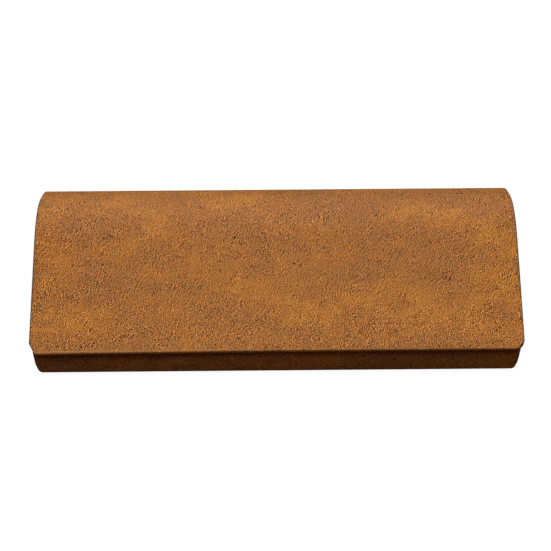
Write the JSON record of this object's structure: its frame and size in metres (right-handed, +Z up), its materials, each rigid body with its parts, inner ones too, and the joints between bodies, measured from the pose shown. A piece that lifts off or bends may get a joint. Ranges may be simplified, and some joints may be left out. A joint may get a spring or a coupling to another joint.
{
  "type": "fountain pen case",
  "caption": "Hard flap case for fountain pens: tan leather over board, flat lid curling down the back to a leather hinge, magnetic rim, grooved pen bed with elastic straps.",
  "frame": {"origin": "on the table under the middle of the closed case's box", "axes": "+X along the case's length, -Y towards the front where the lid opens, +Z up"},
  "size_m": [0.18, 0.075, 0.035],
  "materials": {
    "tan_leather": "distressed tan leather, matt",
    "lining_cloth": "fine brown lining cloth",
    "bed_flock": "dark brown flocked cloth",
    "bed_foam": "cut foam",
    "strap_elastic": "woven elastic webbing",
    "grey_board": "pressed fibre board",
    "batten_wood": "planed softwood",
    "magnet": "dark sintered magnet",
    "keeper_steel": "zinc-plated steel"
  },
  "bodies": {
    "base": {"base_skin": "tan_leather", "base_board": "grey_board", "base_lining": "lining_cloth", "left_end_skin": "tan_leather", "left_end_board": "grey_board", "left_end_lining": "lining_cloth", "right_end_skin": "tan_leather", "right_end_board": "grey_board", "right_end_lining": "lining_cloth", "front_batten": "batten_wood", "closure_magnets": "magnet", "batten_cloth": "lining_cloth", "rear_wall": "grey_board", "rear_wall_cloth": "lining_cloth", "pen_bed": "bed_foam", "pen_bed_cloth": "bed_flock", "left_strap": "strap_elastic", "right_strap": "strap_elastic", "hinge_strip": "tan_leather", "hinge_tape": "lining_cloth"},
    "lid": {"lid_skin": "tan_leather", "lid_board": "grey_board", "lid_lining": "lining_cloth", "lid_keepers": "keeper_steel"}
  },
  "joints": [
    {"name": "lid_hinge", "type": "hinge", "parent": "base", "child": "lid", "pos_m": [0, 0.03675, 0.0082], "axis": [-1, 0, 0], "range_deg": [0, 130], "deforming": ["hinge_strip", "hinge_tape"]}
  ]
}
